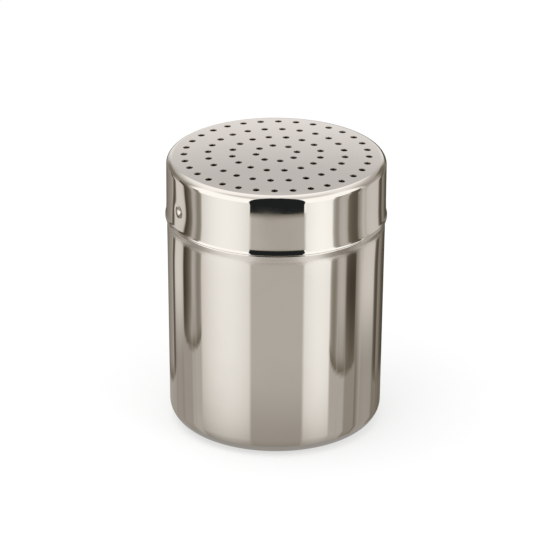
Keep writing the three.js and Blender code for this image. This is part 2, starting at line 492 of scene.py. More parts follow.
@dataclass
class Cup:
    """The deep-drawn cup: pressed-up base, rounded corner, tapered wall, bead, ledge and grooved neck."""

    lock: Bayonet
    wall_inset: float = 0.2 * MM
    wall_taper: float = 0.66 * MM
    ledge_height: float = 70.38 * MM
    corner_radius: float = 6 * MM
    standing_width: float = 4.6 * MM
    recess_depth: float = 0.8 * MM
    recess_slope: float = 2.5 * MM
    bead_reach: float = 0.38 * MM
    bead_rise: float = 2.3 * MM
    bead_bend: float = 0.35
    bead_crown: float = 0.42 * MM
    # The band below the ledge is a real satin finish on the bead, raw enough that its colour also darkens a
    # little: a painted shade under the lid's lip.
    bead_satin_shade: float = 0.6
    satin_shade_drop: float = 3.4 * MM
    satin_shade_fade: float = 2 * MM
    satin_shade_start: float = 0.41 * MM
    satin_shade_edge: float = 0.4 * MM
    plain_share: float = 0.95
    neck_fillet: float = 0.3 * MM
    rim_height: float = 84 * MM
    rim_edge: float = 0.2 * MM
    columns: int = 300
    crowding: float = 0.35
    floor_steps: int = 10
    recess_steps: int = 12
    standing_steps: int = 4
    corner_steps: int = 24
    wall_steps: tuple[int, int] = (12, 8)
    swell_steps: int = 20
    crown_steps: int = 10
    fillet_steps: int = 5
    neck_steps: int = 44

    def outer(self) -> Array:
        """The outer face's meridian, from the middle of the base to the rim.

        The bead swells from the wall by t^2 / (2 bend) up to the bend's share of its height and by
        t - bend / 2 above it, t running from 0 to 1.

        Returns:
            Rows of radius and height.
        """
        top = self.lock.skirt_radius - self.wall_inset
        foot = top - self.wall_taper
        stand = foot - self.corner_radius
        slope_end = stand - self.standing_width
        slope_start = slope_end - self.recess_slope
        bead = self.lock.skirt_radius + self.bead_reach
        bead_foot = self.ledge_height - self.bead_crown
        neck = self.lock.neck_radius
        neck_foot = self.ledge_height + self.neck_fillet
        share = np.linspace(0, 1, self.recess_steps + 1)
        rise = self.recess_depth * (1 - smooth_step(share))
        recess = np.stack([slope_start + self.recess_slope * share, rise], axis=1)
        wall_start = np.array([foot, self.corner_radius])
        wall_end = np.array([top, bead_foot - self.bead_rise])
        split = wall_start + self.plain_share * (wall_end - wall_start)
        share = np.linspace(0, 1, self.swell_steps + 1)
        bend = self.bead_bend
        swollen = np.where(share < bend, share**2 / (2 * bend), share - bend / 2) / (1 - bend / 2)
        swell = np.stack([top + (bead - top) * swollen, bead_foot - self.bead_rise * (1 - share)], axis=1)
        return joined(
            line((0, self.recess_depth), (slope_start, self.recess_depth), self.floor_steps),
            recess,
            line((slope_end, 0), (stand, 0), self.standing_steps),
            arc((stand, self.corner_radius), self.corner_radius, -90, 0, self.corner_steps),
            line(wall_start, split, self.wall_steps[0]),
            line(split, wall_end, self.wall_steps[1]),
            swell,
            arc((bead - self.bead_crown, bead_foot), self.bead_crown, 0, 90, self.crown_steps),
            arc((neck + self.neck_fillet, neck_foot), self.neck_fillet, 270, 180, self.fillet_steps),
            line((neck, neck_foot), (neck, self.rim_height - self.rim_edge), self.neck_steps),
        )

    def face(self, meridian: Array, depth: float) -> Array:
        """One face of the sheet, turned round the axis with the grooves pressed in its neck.

        The columns are crowded where the grooves are: with u the even angle past the middle of the
        grooves, the angle is u - crowding / 2 * sin(2 u).

        Args:
            meridian: the face's rows of radius and height.
            depth: the face's depth in the sheet.

        Returns:
            A grid of points.
        """
        count = self.lock.lug_count
        even = np.arange(self.columns) * TURN / self.columns
        middle = math.radians(self.lock.lug_degrees - self.lock.lock_degrees / 2)
        angle = (middle + even - self.crowding / count * np.sin(count * even))[None, :]
        radius, height = meridian[:, :1], meridian[:, 1:]
        on_neck = height > self.ledge_height + self.neck_fillet
        pressed = np.where(on_neck, self.lock.groove(angle, height, depth), 0)
        return around(angle, radius - pressed, height)

    def build(self) -> bpy.types.Object:
        """Build the cup as one closed mesh.

        Returns:
            The cup's object.
        """
        outer = self.outer()
        inner = inner_face(outer, self.lock.sheet)
        inner[0, 0] = 0
        outer_grid = self.face(outer, 0.0)
        inner_grid = self.face(inner, self.lock.sheet)[::-1]
        rim = half_round(outer_grid[-1], inner_grid[0], self.rim_edge)
        # Satin and painted shade: the band below the ledge is rough with a real satin finish, and its colour
        # darkens slightly as a painted shade under the lid's lip.
        below = self.ledge_height - outer[1:, 1:]
        fading = soft_edge(self.satin_shade_drop, below, self.satin_shade_fade)
        satin = self.bead_satin_shade * soft_edge(below, self.satin_shade_start, self.satin_shade_edge) * fading
        mesh = Mesh()
        outside = mesh.add(outer_grid[1:], satin)
        inside = mesh.add(np.concatenate([rim, inner_grid[:-1]]), SATIN)
        mesh.join(outside, inside)
        mesh.cap(outside[0][::-1], mesh.add(np.array([[0, 0, outer[0, 1]]])))
        mesh.cap(inside[-1], mesh.add(np.array([[0, 0, inner[0, 1]]]), SATIN))
        return mesh.write("cup_shell")


@dataclass
class Lid:
    """The one-piece lid: domed perforated top, rolled shoulder, skirt with lugs, flared lip."""

    lock: Bayonet
    crown_height: float = 90.8 * MM
    height: float = 20.4 * MM
    shoulder_radius: float = 2.4 * MM
    crown_rise: float = 1.0 * MM
    flare_height: float = 1.02 * MM
    flare_reach: float = 0.31 * MM
    ease_height: float = 4.8 * MM
    ease_reach: float = 0.08 * MM
    lip_edge: float = 0.05 * MM
    hole_diameter: float = 2 * MM
    hole_roll: float = 0.15 * MM
    hole_burr: float = 0.05 * MM
    hole_raw: float = 0.9
    first_ring: float = 6.6 * MM
    last_ring_inset: float = 5.6 * MM
    ring_count: int = 4
    holes_in_first_ring: int = 8
    hole_degrees: float = 100.2
    outer_cell_shares: tuple[float, ...] = (0, 0.03, 0.12, 0.25, 0.42, 0.6, 0.8, 1)
    inner_cell_shares: tuple[float, ...] = (0, 0.1, 0.45, 1)
    columns: int = 288
    window_columns: int = 9
    window_rows: int = 8
    window_rings: int = 30
    window_crowding: float = 3
    window_core: float = 3.375 * MM
    half_cell_rows: int = 4
    middle_rings: int = 6
    shoulder_steps: int = 18
    skirt_steps: int = 22
    flare_steps: int = 12
    roll_degrees: tuple[float, ...] = (30, 60, 90)
    burr_degrees: tuple[float, ...] = (90, 45)

    @property
    def shoulder_centre(self) -> float:
        """Return how far the centre of the shoulder's arc stands from the axis."""
        return self.lock.skirt_radius - self.shoulder_radius

    @property
    def edge_slope(self) -> float:
        """Return the dome's slope where the shoulder takes over, as an angle."""
        return math.atan(2 * self.crown_rise / self.shoulder_centre)

    @property
    def shoulder_height(self) -> float:
        """Return the height of the centre of the shoulder's arc."""
        return self.crown_height - self.crown_rise - self.shoulder_radius * math.cos(self.edge_slope)

    @property
    def ring_pitch(self) -> float:
        """Return the distance between the rings of holes."""
        return (self.lock.skirt_radius - self.last_ring_inset - self.first_ring) / (self.ring_count - 1)

    def edge_radius(self, depth: float) -> float:
        """Return the radius at which the dome meets the shoulder, at a depth in the sheet."""
        return self.shoulder_centre + (self.shoulder_radius - depth) * math.sin(self.edge_slope)

    def top_height(self, radius: Array, depth: float) -> Array:
        """Return the top's heights: the dome falls with the square of the distance from the axis."""
        return self.crown_height - self.crown_rise * (radius / self.edge_radius(0.0)) ** 2 - depth

    def even_angles(self) -> Array:
        """Return the columns' angles, even from the first hole on."""
        return math.radians(self.hole_degrees) + np.arange(self.columns) * TURN / self.columns

    def cell(self, mesh: Mesh, ring: int, index: int, depth: float) -> Array:
        """One cell of the perforation: the sheet between a hole and the cell's four sides.

        In plan, each point of the cell's outline is joined to the hole's edge by a straight ray
        towards the hole's middle, and the rings of the cell divide every ray in the same shares.

        Args:
            mesh: where the cell goes.
            ring: the ring of holes, from 0 at the middle.
            index: the hole's place in its ring.
            depth: the face's depth in the sheet.

        Returns:
            The numbers of the points on the hole's edge.
        """
        count = self.holes_in_first_ring * (ring + 1)
        across = self.columns // count
        middle_radius = self.first_ring + ring * self.ring_pitch
        low, high = middle_radius - self.ring_pitch / 2, middle_radius + self.ring_pitch / 2
        if ring == self.ring_count - 1:
            high = self.edge_radius(depth)
        middle_angle = math.radians(self.hole_degrees) + index * TURN / count
        half = TURN / count / 2
        columns = middle_angle + np.linspace(-half, half, across + 1)
        half_rows = self.half_cell_rows + 1
        rows = np.linspace(low, middle_radius, half_rows)[:-1]
        rows = np.concatenate([rows, np.linspace(middle_radius, high, half_rows)])
        up_side, across_side = np.ones(len(rows) - 1), np.ones(across)
        angle = np.concatenate([columns[:-1], columns[-1] * up_side, columns[:0:-1], columns[0] * up_side])
        radius = np.concatenate([low * across_side, rows[:-1], high * across_side, rows[:0:-1]])
        outline = np.stack([radius * np.cos(angle), radius * np.sin(angle)], axis=1)
        centre = middle_radius * np.array([math.cos(middle_angle), math.sin(middle_angle)])
        edge = self.hole_diameter / 2 + (self.hole_burr if depth else self.hole_roll)
        toward = outline - centre
        away = np.hypot(toward[:, 0], toward[:, 1])[:, None]
        shares = np.array(self.inner_cell_shares if depth else self.outer_cell_shares)
        distance = edge + (away - edge) * shares[::-1][:, None, None]
        plan = centre + toward / away * distance
        height = self.top_height(np.hypot(plan[..., 0], plan[..., 1]), depth)
        raw = np.full((len(shares), 1), SATIN if depth else 0.0)
        raw[-1] = SATIN if depth else self.hole_raw
        numbers = mesh.add(np.concatenate([plan, height[..., None]], axis=-1), raw)
        mesh.join(numbers)
        return numbers[-1]

    def hole_wall(self, mesh: Mesh, top: Array, bottom: Array) -> None:
        """The wall of a hole, with the edge rolled over on the outside and a fine edge inside.

        Args:
            mesh: the mesh, which holds both edges already.
            top: the numbers of the points on the outer edge.
            bottom: the numbers of the points on the inner edge.
        """
        corners = np.concatenate(mesh.corners)
        outer, inner = corners[top], corners[bottom]
        centre = outer[:, :2].mean(axis=0)
        toward = (outer[:, :2] - centre) / (self.hole_diameter / 2 + self.hole_roll)
        rings = []
        for height, round_, side, degrees in (
            (outer[:, 2], self.hole_roll, -1, self.roll_degrees),
            (inner[:, 2], self.hole_burr, 1, self.burr_degrees),
        ):
            for angle in np.radians(degrees):
                reach = self.hole_diameter / 2 + round_ * (1 - math.sin(angle))
                level = height + side * round_ * (1 - math.cos(angle))
                rings.append(np.column_stack([centre + toward * reach, level]))
        mesh.join(top, mesh.add(np.array(rings), SHEARED), bottom)

    def face_rows(self, depth: float) -> Array:
        """A face's meridian from the last cells down to the lip.

        From a stretch above the flare on the skirt eases out by reach * t^2, t running from 0 at its
        start to 1 at the flare.

        Args:
            depth: the face's depth in the sheet.

        Returns:
            Rows of radius and height.
        """
        radius = self.lock.skirt_radius
        flare_top = self.crown_height - self.height + self.flare_height
        bend = (self.flare_height**2 + self.flare_reach**2) / (2 * self.flare_reach)
        turn = math.degrees(math.asin((self.flare_height - self.lip_edge) / (bend + depth)))
        centre = (self.shoulder_centre, self.shoulder_height)
        shoulder_start = 90 - math.degrees(self.edge_slope)
        rows = joined(
            arc(centre, self.shoulder_radius - depth, shoulder_start, 0, self.shoulder_steps),
            line((radius - depth, self.shoulder_height), (radius - depth, flare_top), self.skirt_steps),
            arc((radius + bend, flare_top), bend + depth, 180, 180 + turn, self.flare_steps),
        )
        share = np.clip((flare_top + self.ease_height - rows[:, 1]) / self.ease_height, 0, None)
        rows[:, 0] += self.ease_reach * share**2
        return rows

    def skirt(self, mesh: Mesh, depth: float) -> Array:
        """One face of the shoulder and skirt, with a window of its own round each lug.

        Args:
            mesh: where the face goes.
            depth: the face's depth in the sheet.

        Returns:
            The numbers of the points on the lip.
        """
        rows = self.face_rows(depth)
        angle = self.even_angles()
        height = rows[:, 1:]
        radius = rows[:, :1] - self.lock.lug(angle[None, :], height, depth)
        numbers = mesh.add(around(angle[None, :], radius, height), SATIN if depth else 0.0)
        open_faces = np.ones((len(rows) - 1, self.columns), dtype=bool)
        closest = int(np.argmin(np.abs(rows[:, 1] - self.lock.lug_height)))
        first_row = closest - self.window_rows
        last_row = min(closest + self.window_rows, len(rows) - 1)
        for lug in range(self.lock.lug_count):
            lug_angle = math.radians(self.lock.lug_degrees) + lug * TURN / self.lock.lug_count
            column = round((lug_angle - angle[0]) / (TURN / self.columns))
            span = np.arange(column - self.window_columns, column + self.window_columns + 1) % self.columns
            open_faces[first_row:last_row, span[:-1]] = False
            self.window(mesh, numbers[first_row : last_row + 1][:, span], lug_angle, rows, depth)
        mesh.quads.append(ring_faces(numbers)[open_faces])
        return numbers[-1]

    def window(self, mesh: Mesh, block: Array, lug_angle: float, rows: Array, depth: float) -> None:
        """The skirt round one lug: rings that run from the window's outline to the lug's middle.

        Each point of the outline is joined to the lug's middle by a straight line on the unrolled
        skirt. The rings are crowded towards the lug, and a pole closes them.

        Args:
            mesh: the mesh, which holds the window's outline already.
            block: the point numbers of the window's rows and columns.
            lug_angle: the lug's angle.
            rows: the face's meridian.
            depth: the face's depth in the sheet.
        """
        outline = np.concatenate([block[0, :-1], block[:-1, -1], block[-1, :0:-1], block[:0:-1, 0]])
        corners = np.concatenate(mesh.corners)[outline]
        past = np.mod(np.arctan2(corners[:, 1], corners[:, 0]) - lug_angle + math.pi, TURN) - math.pi
        across = past * self.lock.skirt_radius
        up = corners[:, 2] - self.lock.lug_height
        away = np.hypot(across, up)
        shares = 1 - np.linspace(0, 1, self.window_rings + 1)[1:-1, None]
        core = self.window_core
        outside_core = np.clip(away - core, 0, None)
        distance = np.minimum(away, core) * shares + outside_core * shares**self.window_crowding
        distance = np.concatenate([distance, np.zeros((1, away.size))])
        angle = lug_angle + distance * across / away / self.lock.skirt_radius
        height = self.lock.lug_height + distance * up / away
        order = np.argsort(rows[:, 1])
        base = np.interp(height, rows[order, 1], rows[order, 0])
        points = around(angle, base - self.lock.lug(angle, height, depth), height)
        worn = SATIN * np.exp(-((distance / self.lock.worn_reach) ** 2))
        worn = np.maximum(SATIN if depth else 0.0, worn)
        numbers = mesh.add(points[:-1], worn[:-1])
        mesh.join(outline, numbers)
        mesh.cap(numbers[-1], mesh.add(points[-1, :1], worn[-1, :1]))

    def middle(self, mesh: Mesh, depth: float) -> None:
        """The unpierced middle of the top, inside the first ring's cells.

        Args:
            mesh: where it goes.
            depth: the face's depth in the sheet.
        """
        radius = np.linspace(self.first_ring - self.ring_pitch / 2, 0, self.middle_rings)[:, None]
        points = around(self.even_angles()[None, :], radius, self.top_height(radius, depth))
        raw = SATIN if depth else 0.0
        numbers = mesh.add(points[:-1], raw)
        mesh.join(numbers)
        mesh.cap(numbers[-1], mesh.add(points[-1, :1], raw))

    def build(self) -> bpy.types.Object:
        """Build the lid as one closed mesh.

        Returns:
            The lid's object.
        """
        mesh = Mesh()
        sheet = self.lock.sheet
        self.middle(mesh, 0.0)
        self.middle(mesh, sheet)
        for ring in range(self.ring_count):
            for index in range(self.holes_in_first_ring * (ring + 1)):
                top = self.cell(mesh, ring, index, 0.0)
                self.hole_wall(mesh, top, self.cell(mesh, ring, index, sheet))
        outer = self.skirt(mesh, 0.0)
        inner = self.skirt(mesh, sheet)
        corners = np.concatenate(mesh.corners)
        lip = half_round(corners[outer], corners[inner], -self.lip_edge)
        mesh.join(outer, mesh.add(lip, SATIN), inner)
        return mesh.write("lid_shell")


@dataclass(frozen=True)
class PolishedSteel:
    """Mirror-polished stainless steel sheet.

    The polish leaves faint rings round the axis, the drawing leaves a slight waviness, and handling
    leaves smudges that blur the mirror a little. A noise is given by scale, detail and roughness, a
    relief by strength and distance.
    """

    name: str
    colour: Colour = (0.70, 0.668, 0.618)
    roughness: float = 0.02
    smudge: float = 0.03
    rings: float = 0.012
    raw_roughness: float = 0.42
    # The colour of cut edges, also used for a slight painted shade on the cup's bead.
    sheared_and_shade_colour: Colour = (0.36, 0.31, 0.26)
    ring_length: float = 30.0
    ring_density: float = 5200.0
    ring_noise: tuple[float, float, float] = (1.0, 3.0, 0.6)
    smudge_noise: tuple[float, float, float] = (55.0, 5.0, 0.62)
    wave_noise: tuple[float, float, float] = (26.0, 1.0, 0.4)
    smudge_range: tuple[float, float] = (0.45, 0.72)
    sheared_and_shade_range: tuple[float, float] = (0.55, 1.0)
    dulled: float = 0.94
    dulled_by_smudge: float = 0.5
    dulled_by_ring: float = 0.2
    ring_relief: tuple[float, float] = (0.02, 0.012 * MM)
    wave_relief: tuple[float, float] = (0.25, 0.1 * MM)

    def build(self) -> bpy.types.Material:
        """Build the steel's nodes.

        Returns:
            The material.
        """
        material = bpy.data.materials.new(self.name)
        graph = Graph(material)
        place = graph.node("ShaderNodeTexCoord").out("Object")
        apart = graph.node("ShaderNodeSeparateXYZ", inputs={"Vector": place})
        x, y, z = (apart.value(axis) for axis in "XYZ")
        meridian = (x * x + y * y).math("SQRT") - z
        turned = {"X": x * self.ring_length, "Y": y * self.ring_length, "Z": meridian * self.ring_density}
        rings = graph.noise(graph.node("ShaderNodeCombineXYZ", inputs=turned), *self.ring_noise)
        smudges = graph.noise(place, *self.smudge_noise)
        waves = graph.noise(place, *self.wave_noise)
        smeared = smudges.smooth(*self.smudge_range)
        raw = graph.node("ShaderNodeAttribute", {"attribute_name": "raw"}).value("Fac")
        roughness = smeared * self.smudge + rings * self.rings + self.roughness + raw * self.raw_roughness
        # Over this range the steel darkens towards the sheared colour: real cut edges at the holes, and on
        # the cup's bead a slight painted shade under the lid's lip.
        sheared = raw.smooth(*self.sheared_and_shade_range)
        dull = smeared * self.dulled_by_smudge + rings * self.dulled_by_ring
        dulled_colour = (*(self.dulled * part for part in self.colour), 1.0)
        tint = graph.mixed(dull, (*self.colour, 1.0), dulled_colour)
        tint = graph.mixed(sheared, tint, (*self.sheared_and_shade_colour, 1.0))
        grain = graph.bump(rings, *self.ring_relief)
        drawn = graph.bump(waves, *self.wave_relief, grain)
        inputs = {"Base Color": tint, "Metallic": 1.0, "Roughness": roughness, "Normal": drawn}
        graph.finish(graph.node("ShaderNodeBsdfPrincipled", inputs=inputs))
        return material


@dataclass(frozen=True)
class Foot:
    """The rounded end that the bands of a group share on the floor: its reach, and its azimuths."""

    reach: float
    start: float
    end: float


RIGHT = Foot(52 * MM, 61, 99)
BACK_RIGHT = Foot(30 * MM, 130, BEHIND)
LEFT = Foot(67 * MM, -118, -86)
BACK_LEFT = Foot(30 * MM, -BEHIND, -137)


@dataclass(frozen=True)
class Band:
    """An upright band of the reflection tent, by the azimuths between which the wall mirrors it.

    Azimuths are degrees from the front, plus to the right. The tones are the band's at its first edge,
    its middle and its last edge. On the floor it starts at its foot, or at the shaker if it has none.
    It stands between its bottom's and its top's elevation. Shade darkens it in the shaker's painted shadow
    and dim in the painted shade close to the shaker, lift brightens it far off, and lean turns its far part
    away from the front.
    """

    start: float
    end: float
    tones: tuple[float, float, float]
    edge: float = 2.0
    bottom: float = -120.0
    top: float = -12.0
    foot: Optional[Foot] = None
    foot_tone: float = 0.45
    shade: float = 0.0
    dim: float = 0.0
    lift: float = 0.0
    lean: float = 0.0

    def tone(self, azimuth: Array) -> Array:
        """The tone across the band: a parabola through its three tones.

        Args:
            azimuth: the points' azimuths in degrees.

        Returns:
            The tone of each.
        """
        first, middle, last = self.tones
        share = np.clip((azimuth - self.start) / (self.end - self.start), 0, 1)
        slope = 4 * middle - 3 * first - last
        return first + share * slope + share**2 * (2 * first + 2 * last - 4 * middle)

    def cover(self, azimuth: Array, elevation: Array, upright_edge: float) -> Array:
        """How much of each point the band covers, with soft edges.

        Args:
            azimuth: the points' azimuths in degrees.
            elevation: their elevations in degrees.
            upright_edge: the width of the soft edge at the bottom and at the top, in degrees.

        Returns:
            Shares from 0 to 1.
        """
        rise = soft_edge(azimuth, self.start, self.edge) if self.start > -BEHIND else 1.0
        fall = soft_edge(self.end, azimuth, self.edge) if self.end < BEHIND else 1.0
        below_top = soft_edge(self.top, elevation, upright_edge)
        return rise * fall * below_top * soft_edge(elevation, self.bottom, upright_edge)


Stops = tuple[tuple[float, float], ...]


def by_stops(value: Array, stops: Stops) -> Array:
    """Return what the stops give for each value, in straight stretches between their pairs."""
    return np.interp(value, *zip(*stops))


@dataclass
class Tent:
    """The reflection tent: the pale floor, panels, flags, curtain and ceiling that the steel mirrors.

    Only mirrored rays see it. It glows with painted tones, a painted reflection of a studio's lit and
    dark things, and it is no lamp. Its floor is laid out by what the shaker's wall mirrors from the
    front: a point lies at a reach along the ray that leaves the wall at half its azimuth. Azimuths and
    elevations are in degrees where it isn't said otherwise. A sky is pairs of an elevation and a tone.
    """

    wall_radius: float = 34.7 * MM
    radius: float = 235 * MM
    lid_height: float = 87 * MM
    floor_height: float = 0.1 * MM
    floor_elevation: float = -90
    under_radius: float = 26 * MM
    low_elevation: float = -23
    top_elevation: float = 85
    columns: int = 721
    under_rows: int = 5
    floor_rows: int = 61
    floor_crowding: float = 1.5
    wall_rows: int = 109
    ceiling_rows: int = 9
    curtain: Colour = (0.018, 0.021, 0.022)
    curtain_middle: float = 1.0
    curtain_half: float = 28.3
    curtain_edge: float = 0.8
    curtain_foot: float = 200 * MM
    curtain_foot_fade: float = 8 * MM
    curtain_foot_depth: float = 0.96
    upright_edge: float = 6
    floor_tone: float = 0.6
    # The ring under the shaker's foot is darker: a painted shade under the cup.
    under_shade_tone: float = 0.4
    under_shade_warmth: float = 0.5
    ceiling: float = 1.06
    # The shaker's painted shadow on the tent's floor: shaded near it, a contact shadow at its foot, a close
    # shade that dims bands, and a wider shadow.
    shaded: float = 0.28
    shaded_reach: float = 35 * MM
    shaded_fade: float = 60 * MM
    contact_shadow_depth: float = 0.2
    contact_shadow_reach: float = 4 * MM
    close_shade_reach: float = 22 * MM
    shadow_reach: float = 85 * MM
    shadow_fade: float = 70 * MM
    far_reach: float = 152.5 * MM
    far_fade: float = 55 * MM
    far_drop: float = 0.08
    far_bow: float = 0.1
    far_bow_middle: float = 0.25
    tip_length: float = 19 * MM
    tip_edge: float = 4 * MM
    tip_dark: float = 0.2
    tip_dark_share: float = 0.9
    tip_dark_start: float = 2 * MM
    tip_dark_length: float = 8 * MM
    warmth: Colour = (0.0, 0.05, 0.1)
    warm_from: float = 1.2
    warm_over: float = 0.65
    dark_warmth: Colour = (0.0, 0.12, 0.3)
    dark_from: float = 0.5
    dark_over: float = 0.45
    backdrop_tint: Colour = (0.0, 0.028, 0.018)
    backdrop_elevation: float = 5
    back_azimuth: float = 156
    back_edge: float = 22
    front_azimuth: float = 97
    front_edge: float = 16
    front_sky: Stops = ((40, 1.42), (48, 1.28), (61, 0.86), (75, 0.93))
    left_sky: Stops = (
        (-15, 0.5), (5, 0.34), (13, 0.32), (23, 0.47), (30, 0.6),
        (36, 0.74), (42, 0.95), (50, 1.15), (58, 1.3),
    )
    right_sky: Stops = (
        (-15, 0.55), (5, 0.48), (13, 0.42), (23, 0.5), (30, 0.56),
        (36, 0.62), (42, 0.74), (50, 0.97), (58, 1.12),
    )
    back_sky: Stops = (
        (-15, 0.85), (0, 0.9), (15, 1.03), (26, 0.81), (31, 0.72), (36, 0.7), (38.5, 0.84),
        (41, 1.16), (45, 1.3), (50, 1.36), (60, 1.38), (70, 1.33), (77, 1.13),
    )
    bands: tuple[Band, ...] = (
        Band(29.8, 63.5, (1.0, 1.18, 1.07), 4.0, dim=0.6, lift=0.13, lean=0.6),
        Band(60.3, 70.5, (0.58, 0.3, 0.54), 3.0, top=2, foot=RIGHT, foot_tone=0.56, lift=0.3, lean=1),
        Band(70.5, 80.5, (0.54, 0.62, 0.5), 3.0, top=4, foot=RIGHT, foot_tone=0.56, shade=0.3),
        Band(80.5, 96, (0.14, 0.08, 0.09), 4.0, top=9, foot=RIGHT, foot_tone=0.38, shade=-1.2, lift=0.8),
        Band(96, 105, (0.3, 0.52, 0.74), 3.0, top=-8, shade=0.3),
        Band(105, 131, (0.76, 0.81, 0.74), 4.0, top=-8, shade=0.44, lift=-0.07, lean=4),
        Band(130, 142, (0.3, 0.11, 0.24), 4.0, top=8, foot=BACK_RIGHT, foot_tone=0.28, lean=5),
        Band(142, 149, (0.26, 0.28, 0.2), 3.0, top=8, foot=BACK_RIGHT, foot_tone=0.24, lean=5),
        Band(149, BEHIND, (0.16, 0.08, 0.05), 4.0, top=5, foot=BACK_RIGHT, foot_tone=0.2, lean=5),
        Band(-92.5, -26.9, (0.7, 1.14, 0.96), 4.0, dim=0.6, lift=0.08),
        Band(-96, -86.5, (0.5, 0.32, 0.5), 3.0, top=4, foot=LEFT, foot_tone=0.57, lean=-2),
        Band(-101.5, -96, (0.5, 0.58, 0.46), 2.0, top=4, foot=LEFT, foot_tone=0.54, shade=0.3, lean=-2),
        Band(-118, -101.5, (0.08, 0.12, 0.34), 4.0, top=2, foot=LEFT, foot_tone=0.44, shade=-1, lean=-2),
        Band(-138.5, -117.5, (0.7, 0.84, 0.72), 4.0, top=-14, shade=0.5, lean=-4),
        Band(-144.5, -137, (0.3, 0.12, 0.3), 2.5, top=-6, foot=BACK_LEFT, foot_tone=0.44, lean=-6.5),
        Band(-BEHIND, -145.5, (0.12, 0.28, 0.42), 3.0, top=-6, foot=BACK_LEFT, foot_tone=0.44, lean=-6.5),
        Band(128, 152, (0.36, 0.2, 0.3), 10.0, bottom=-12, top=24),
        Band(-152, -124, (0.34, 0.26, 0.3), 10.0, bottom=-8, top=20),
    )

    def spot(self, azimuth: Array, start: Amount, reach: Amount, height: Amount) -> Array:
        """Where a mirrored ray is, in plan, after it has gone a reach from a round wall.

        It leaves the wall at r (sin h, -cos h), h being half the azimuth a, towards (sin a, -cos a).

        Args:
            azimuth: the ray's azimuth in radians.
            start: the wall's radius.
            reach: how far it has gone.
            height: the point's height.

        Returns:
            An array whose last axis is x, y, z.
        """
        half = azimuth / 2
        x = start * np.sin(half) + reach * np.sin(azimuth)
        y = -start * np.cos(half) - reach * np.cos(azimuth)
        return np.stack(np.broadcast_arrays(x, y, height), axis=-1)

    def full_reach(self, azimuth: Array) -> Array:
        """Return a ray's reach to the tent, -b + sqrt(b^2 + R^2 - r^2), b = r cos(a / 2), a in radians."""
        along = self.wall_radius * np.cos(azimuth / 2)
        return -along + np.sqrt(along**2 + self.radius**2 - self.wall_radius**2)

    def sky(self, azimuth: Array, elevation: Array) -> Array:
        """The tone over the panels: bright in front, a dim streak at the sides, the wall at the back.

        Args:
            azimuth: azimuths in degrees.
            elevation: elevations in degrees.

        Returns:
            The tones.
        """
        away = np.abs(azimuth)
        left, right = by_stops(elevation, self.left_sky), by_stops(elevation, self.right_sky)
        tone = np.where(azimuth < 0, left, right)
        back = soft_edge(away, self.back_azimuth, self.back_edge)
        tone = tone + (by_stops(elevation, self.back_sky) - tone) * back
        front = soft_edge(self.front_azimuth, away, self.front_edge)
        return tone + (by_stops(elevation, self.front_sky) - tone) * front

    def mirrored(self, azimuth: Array, reach: Array, elevation: Array) -> Array:
        """The tone of each point of the tent.

        Args:
            azimuth: its azimuth in degrees.
            reach: its reach from the shaker's wall.
            elevation: its elevation over the lid's shoulder in degrees, or the floor's elevation.

        Returns:
            An array whose last axis is the colour.
        """
        level = elevation < self.low_elevation
        # Painted shadow of the shaker on the floor: contact is the shade at its foot, lit and shadow fall off
        # further out, and close dims bands near it.
        contact = 1 - self.contact_shadow_depth * np.exp(-reach / self.contact_shadow_reach)
        lit = 1 - self.shaded * soft_edge(self.shaded_reach, reach, self.shaded_fade)
        shadow = soft_edge(self.shadow_reach, reach, self.shadow_fade)
        close = np.exp(-reach / self.close_shade_reach)
        far = soft_edge(reach, self.far_reach, self.far_fade)
        from_curtain = np.abs(azimuth - self.curtain_middle)
        bow = np.clip((azimuth - self.curtain_middle) / self.curtain_half - self.far_bow_middle, -1, 1) ** 2
        floor = self.floor_tone * lit * contact * (1 - far * (self.far_drop - self.far_bow * bow))
        tone = np.where(level, floor, self.sky(azimuth, elevation))
        far = np.where(level, far, 1.0)
        for band in self.bands:
            turned = azimuth - band.lean * far * np.sign(azimuth)
            colour = band.tone(turned)
            colour = colour * (1 - band.shade * shadow) * (1 - band.dim * close) * (1 + band.lift * far)
            if band.foot:
                edge = self.past_foot(band.foot, turned, reach)
                bell = np.exp(-((np.maximum(edge - self.tip_dark_start, 0) / self.tip_dark_length) ** 2))
                colour = colour + (self.tip_dark - colour) * np.where(level, self.tip_dark_share * bell, 0)
                standing = np.where(level, soft_edge(edge, 0, self.tip_edge), 1.0)
                floor = band.foot_tone * contact
                colour = floor + (colour - floor) * standing
            tone = tone + (colour - tone) * band.cover(turned, elevation, self.upright_edge)
        # The floor darkens softly into the curtain's foot: the black curtain itself, with a painted shade
        # where the floor meets it.
        foot = 1 - self.curtain_foot_depth * soft_edge(reach, self.curtain_foot, self.curtain_foot_fade)
        tone = tone * np.where((from_curtain < self.curtain_half) & level, foot, 1)
        backdrop = soft_edge(np.abs(azimuth), self.back_azimuth, self.back_edge)
        backdrop = backdrop * (elevation > self.backdrop_elevation)
        grey = (np.clip((self.warm_from - tone) / self.warm_over, 0, 1) * (1 - backdrop))[..., None]
        dark = np.clip((self.dark_from - tone) / self.dark_over, 0, 1)[..., None]
        colour = tone[..., None] * (1 - grey * np.array(self.warmth) - dark * np.array(self.dark_warmth))
        colour = colour * (1 - backdrop[..., None] * np.array(self.backdrop_tint))
        front = (soft_edge(self.curtain_half, from_curtain, self.curtain_edge) * ~level)[..., None]
        return colour + (np.array(self.curtain) - colour) * front

    def past_foot(self, foot: Foot, azimuth: Array, reach: Array) -> Array:
        """Return how far points lie past a foot, whose end recedes by the tip times 1 - sqrt(1 - t^2)."""
        across = np.clip((azimuth - foot.start) / (foot.end - foot.start) * 2 - 1, -1, 1)
        return reach - foot.reach - self.tip_length * (1 - np.sqrt(1 - across**2))

